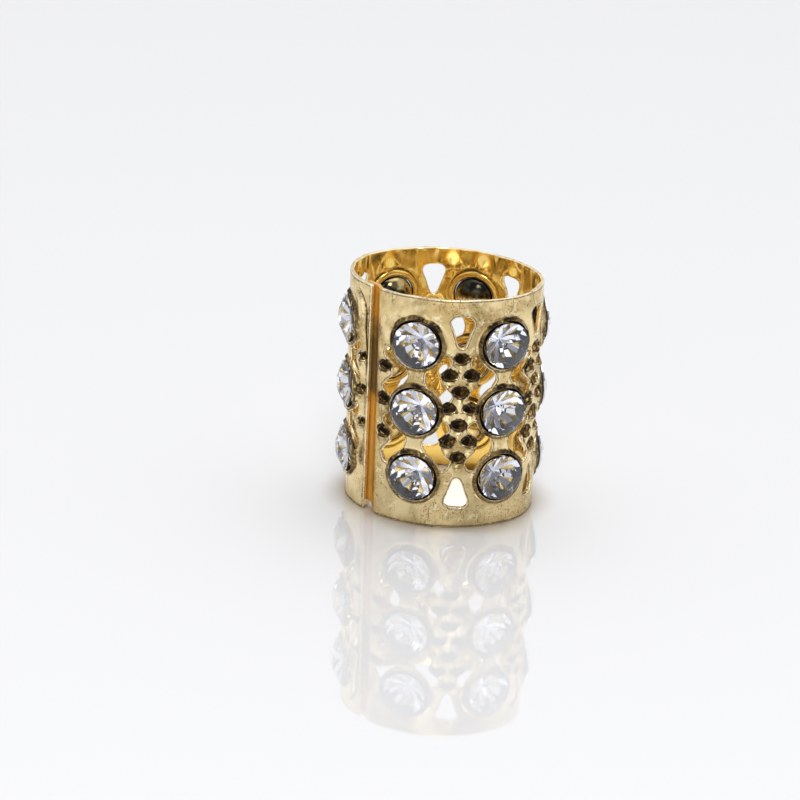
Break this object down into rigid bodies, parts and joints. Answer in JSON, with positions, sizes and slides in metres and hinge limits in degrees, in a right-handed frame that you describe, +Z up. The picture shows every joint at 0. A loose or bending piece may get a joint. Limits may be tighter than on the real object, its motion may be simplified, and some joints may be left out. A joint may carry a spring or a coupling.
{
  "type": "dreadlock ring",
  "caption": "Open oval cuff of thin pierced brass with overlapping ends, hooded scales and columns of set cut stones, worn round a dreadlock or braid.",
  "frame": {"origin": "middle of the oval passage, in the plane of the lower rim", "axes": "+Z up along the passage, X along the oval's long axis, -Y through the front, where the ends overlap at the left"},
  "size_m": [0.0139, 0.0116, 0.016],
  "materials": {
    "gilt_brass": "bright gilt, lightly scratched and spotted",
    "crystal": "clear cut glass with a dark foiled back"
  },
  "bodies": {
    "root": {"cuff": "gilt_brass", "stone_1_low": "crystal", "stone_1_mid": "crystal", "stone_1_top": "crystal", "stone_2_low": "crystal", "stone_2_mid": "crystal", "stone_2_top": "crystal", "stone_3_low": "crystal", "stone_3_mid": "crystal", "stone_3_top": "crystal", "stone_4_low": "crystal", "stone_4_mid": "crystal", "stone_4_top": "crystal", "stone_5_low": "crystal", "stone_5_mid": "crystal", "stone_5_top": "crystal", "stone_6_low": "crystal", "stone_6_mid": "crystal", "stone_6_top": "crystal"}
  },
  "joints": []
}
